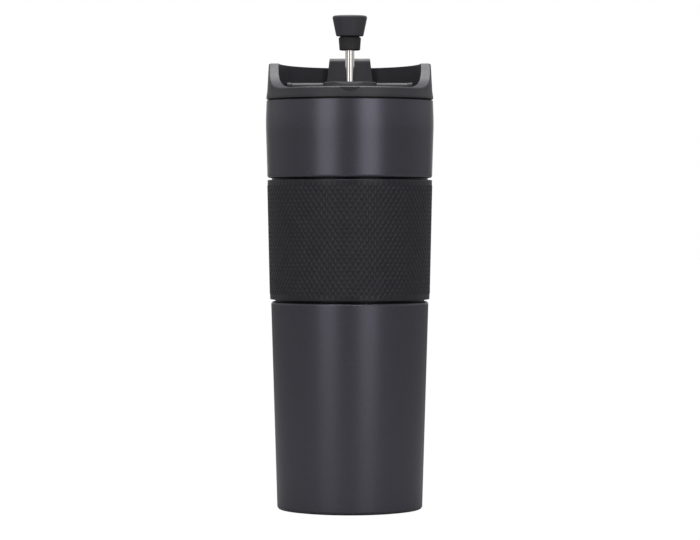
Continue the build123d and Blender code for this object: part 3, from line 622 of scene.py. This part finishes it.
WIRE_PITCH = 0.75 * MM
WIRE_R = 0.105 * MM
DISH_CORNER = 1.0 * MM
ROD_HOLE_R = 2.8 * MM
HEM_HEIGHT = 1.0 * MM
HEM_THICK = 0.5 * MM
HEM_CUT = 0.2 * MM         # rounding of the hem's upper corners
WIRE_SIDES = 3
dish_low, dish_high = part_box("filter_mesh")
dish_r = dish_high.x
flat_r = dish_r - 2 * WIRE_R - DISH_CORNER
mesh_z = dish_low.z + 2 * WIRE_R
cut_r = flat_r + DISH_CORNER * np.pi / 2 + (dish_high.z - mesh_z - DISH_CORNER) - HEM_HEIGHT / 2


def pressed(x, y, rise):
    """Where a point of the flat weave goes when the disc is pressed into a dish. Inside flat_r it stays. Past
    that, its distance from flat_r is measured along the dish: round a quarter circle of DISH_CORNER, then
    straight up the skirt. Rise is the distance from the sheet's middle, along the dish's own normal."""
    span = np.hypot(x, y)
    along = np.maximum(span - flat_r, 0)
    bend = np.minimum(along / DISH_CORNER, np.pi / 2)
    climb = np.maximum(along - DISH_CORNER * np.pi / 2, 0)
    radius = np.minimum(span, flat_r) + (DISH_CORNER - rise) * np.sin(bend)
    height = mesh_z + DISH_CORNER - (DISH_CORNER - rise) * np.cos(bend) + climb
    share = radius / np.maximum(span, 1e-9)
    return np.stack([x * share, y * share, height], axis=-1)


def woven_wires(over):
    """One set of wires, as points and faces. Wires run along a, one each WIRE_PITCH of b, and wave over and
    under the other set: rise = over * WIRE_R * cos(pi a / pitch) * (-1)^(b / pitch). Each is a thin tube with
    a point at each crossing and halfway between, kept where the flat disc is, and its ends are capped."""
    half = int(cut_r / WIRE_PITCH)
    wire = np.arange(-half, half + 1)[:, None, None]
    step = np.arange(-2 * half - 2, 2 * half + 3)[None, :, None]
    turn = 2 * np.pi * np.arange(WIRE_SIDES)[None, None, :] / WIRE_SIDES
    a = step * WIRE_PITCH / 2 + 0 * wire + 0 * turn
    b = wire * WIRE_PITCH + WIRE_R * np.cos(turn) + 0 * step
    rise = over * WIRE_R * np.cos(np.pi * step / 2) * (-1.0) ** wire + WIRE_R * np.sin(turn)
    points = pressed(a, b, rise) if over > 0 else pressed(b, a, rise)
    span = np.hypot(step[..., 0] * WIRE_PITCH / 2, wire[..., 0] * WIRE_PITCH)
    whole = (span < cut_r) & (span > ROD_HOLE_R)
    cell = whole[:, :-1] & whole[:, 1:]
    number = np.arange(points[..., 0].size).reshape(points.shape[:3])
    near, far = number[:, :-1], number[:, 1:]
    sides = np.stack([near, np.roll(near, -1, axis=2), np.roll(far, -1, axis=2), far], axis=-1)
    first = cell & ~np.pad(cell, ((0, 0), (1, 0)))[:, :-1]
    last = cell & ~np.pad(cell, ((0, 0), (0, 1)))[:, 1:]
    faces = [sides[cell].reshape(-1, 4), near[first][:, ::-1], far[last]]
    if over < 0:
        faces = [face[:, ::-1] for face in faces]
    return points.reshape(-1, 3), faces


def used_only(points, faces):
    """The points that some face uses, and the faces with their point numbers changed to match."""
    used = np.unique(np.concatenate([face.reshape(-1) for face in faces]))
    renumber = np.zeros(len(points), int)
    renumber[used] = np.arange(len(used))
    return points[used], [corners for face in faces for corners in renumber[face].tolist()]


warp_points, warp_faces = used_only(*woven_wires(1))
weft_points, weft_faces = used_only(*woven_wires(-1))
hem_low = dish_high.z - HEM_HEIGHT
hem_outline = rounded([
    (dish_r - HEM_THICK, hem_low, HEM_CUT / 2), (dish_r, hem_low, 0.75 * HEM_CUT),
    (dish_r, dish_high.z, HEM_CUT), (dish_r - HEM_THICK, dish_high.z, HEM_CUT)])
hem_points = turned_rings(hem_outline).reshape(-1, 3)
mesh_points = np.vstack([warp_points, weft_points, hem_points])
mesh_faces = warp_faces
mesh_faces += [[corner + len(warp_points) for corner in face] for face in weft_faces]
mesh_faces += ring_faces(len(hem_outline), AROUND, first=len(warp_points) + len(weft_points))
wire_steel = finish(
    "wire_steel", 1.0, 0.5,
    lambda m: shade(m, grain_of(m, 260, 4.0), (0.46, 0.46, 0.47), (0.60, 0.60, 0.60)),
    lambda m: spread(m, grain_of(m, 1500), 0.24, 0.36),
    lambda m: raised(m, grain_of(m, 9000), 0.003 * MM))
woven_filter = piece_of("woven_filter", mesh_points, mesh_faces, wire_steel, even=False)
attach(woven_filter, "plunger")
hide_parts("filter_mesh")


# ---- Edge spring
# A long coil of thin stainless wire, closed into a ring inside the mesh's skirt.
# It presses the skirt out against the bore all the way round.

COIL_TURNS = 195
COIL_STEPS = 14            # points to a turn of the coil
COIL_SIDES = 6
COIL_WIRE_R = 0.2 * MM
SMALL_STEP = 1e-6          # step along the line that gives its direction
coil_low, coil_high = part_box("edge_spring")
coil_r = (coil_high.z - coil_low.z) / 2 - COIL_WIRE_R
ring_r = coil_high.x - (coil_high.z - coil_low.z) / 2
coil_z = (coil_high.z + coil_low.z) / 2


def coil_line(share):
    """The coil's middle line: a point goes round the ring once as share goes from 0 to 1, and round the coil
    COIL_TURNS times."""
    around, twist = 2 * np.pi * share, 2 * np.pi * share * COIL_TURNS
    radius = ring_r + coil_r * np.cos(twist)
    height = coil_z + coil_r * np.sin(twist)
    return np.stack([radius * np.cos(around), radius * np.sin(around), height], axis=-1)


share = np.arange(COIL_TURNS * COIL_STEPS) / (COIL_TURNS * COIL_STEPS)
line = coil_line(share)
ahead = coil_line(share + SMALL_STEP) - line
ahead /= np.linalg.norm(ahead, axis=1, keepdims=True)
ring_angle = 2 * np.pi * share
middle = np.stack([ring_r * np.cos(ring_angle), ring_r * np.sin(ring_angle), coil_z + 0 * share], axis=-1)
out = line - middle
out -= ahead * np.sum(out * ahead, axis=1, keepdims=True)
out /= np.linalg.norm(out, axis=1, keepdims=True)
side = np.cross(ahead, out)
turn = 2 * np.pi * np.arange(COIL_SIDES)[None, :, None] / COIL_SIDES
coil_points = line[:, None] + COIL_WIRE_R * (np.cos(turn) * out[:, None] + np.sin(turn) * side[:, None])
coil_faces = ring_faces(len(coil_points), COIL_SIDES)
coiled_spring = piece_of("coiled_spring", coil_points, coil_faces, wire_steel, even=False)
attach(coiled_spring, "plunger")
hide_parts("edge_spring")


# ---- Studio
# A pale floor under a white room: bright behind the press and dim in front of it, with a soft box at each
# side of the camera and one overhead. The camera stands a metre and a half away, above the press's middle.

FLOOR_HALF = 8.0
floor_mesh = bpy.data.meshes.new("floor")
floor_mesh.from_pydata([(-FLOOR_HALF, -FLOOR_HALF, 0), (FLOOR_HALF, -FLOOR_HALF, 0),
                        (FLOOR_HALF, FLOOR_HALF, 0), (-FLOOR_HALF, FLOOR_HALF, 0)], [], [(0, 1, 2, 3)])
floor = bpy.data.objects.new("floor", floor_mesh)
bpy.context.scene.collection.objects.link(floor)
floor_paper = bpy.data.materials.new("floor_paper")
floor_paper.use_nodes = True
floor_paper.node_tree.nodes.clear()
lit = add(floor_paper, "ShaderNodeBsdfDiffuse", {"Color": (0.25, 0.25, 0.25, 1)})
glow = add(floor_paper, "ShaderNodeEmission", {"Strength": 1.08})
seen = add(floor_paper, "ShaderNodeLightPath").outputs["Is Camera Ray"]
glow_share = spread(floor_paper, seen, 0.0, 0.92, 0.0, 1.0)
paper = add(floor_paper, "ShaderNodeMixShader", Fac=glow_share)
floor_paper.node_tree.links.new(lit.outputs["BSDF"], paper.inputs[1])
floor_paper.node_tree.links.new(glow.outputs["Emission"], paper.inputs[2])
add(floor_paper, "ShaderNodeOutputMaterial", Surface=paper.outputs["Shader"])
floor_mesh.materials.append(floor_paper)

# How bright the room is, by the cosine of the angle from the wall behind the press. At -1 is the camera, and
# at 1 the middle of that wall.
ROOM = [(-1.0, 0.08), (-0.96, 0.34), (-0.2, 0.38), (0.3, 0.48), (0.6, 0.46), (0.78, 0.26), (0.93, 0.36),
        (0.98, 1.0)]
room = bpy.data.worlds.new("room")
room.use_nodes = True
bpy.context.scene.world = room
way = add(room, "ShaderNodeTexCoord").outputs["Object"]
depth = add(room, "ShaderNodeSeparateXYZ", Vector=way).outputs["Y"]
level = add(room, "ShaderNodeValToRGB", Fac=spread(room, depth, 0.0, 1.0, -1.0, 1.0))
stops = level.color_ramp.elements
for cosine, _ in ROOM[1:-1]:
    stops.new((cosine + 1) / 2)
for stop, (cosine, bright) in zip(stops, ROOM):
    stop.position = (cosine + 1) / 2
    stop.color = (bright, bright, bright, 1)
camera_sees = add(room, "ShaderNodeLightPath").outputs["Is Camera Ray"]
strength = joined(room, "MAXIMUM", level.outputs["Color"], camera_sees)
background = room.node_tree.nodes["Background"]
background.inputs["Color"].default_value = (1, 1, 1, 1)
room.node_tree.links.new(strength, background.inputs["Strength"])


def soft_box(name, azimuth, elevation, distance, width, height, aim_height, brightness):
    """An area light that faces the press. Azimuth turns from -Y towards +X, and brightness is its radiance:
    its power divided by pi and by its area."""
    light = bpy.data.lights.new(name, "AREA")
    light.shape = "RECTANGLE"
    light.size, light.size_y = width, height
    light.energy = brightness * np.pi * width * height
    box = bpy.data.objects.new(name, light)
    bpy.context.scene.collection.objects.link(box)
    turn, tilt = np.radians(azimuth), np.radians(elevation)
    box.location = (distance * np.cos(tilt) * np.sin(turn), -distance * np.cos(tilt) * np.cos(turn),
                    aim_height + distance * np.sin(tilt))
    box.rotation_euler = (np.radians(90 - elevation), 0, turn)
    box.visible_camera = False


soft_box("left_box", -31.5, 4, 1.2, 0.52, 1.1, 0.12, 1.1)
soft_box("right_box", 27, 4, 1.2, 0.53, 1.1, 0.12, 1.3)
soft_box("top_box", 0, 88, 1.1, 1.1, 1.1, 0.2, 5.4)

camera_data = bpy.data.cameras.new("camera")
camera_data.sensor_width = 36
camera_data.lens = 160.08
camera = bpy.data.objects.new("camera", camera_data)
camera.location = (0.1 * MM, -1.5, 145.55 * MM)
camera.rotation_euler = (np.radians(90 - 1.146), 0, 0)
bpy.context.scene.collection.objects.link(camera)
bpy.context.scene.camera = camera
bpy.context.scene.view_settings.view_transform = "Standard"
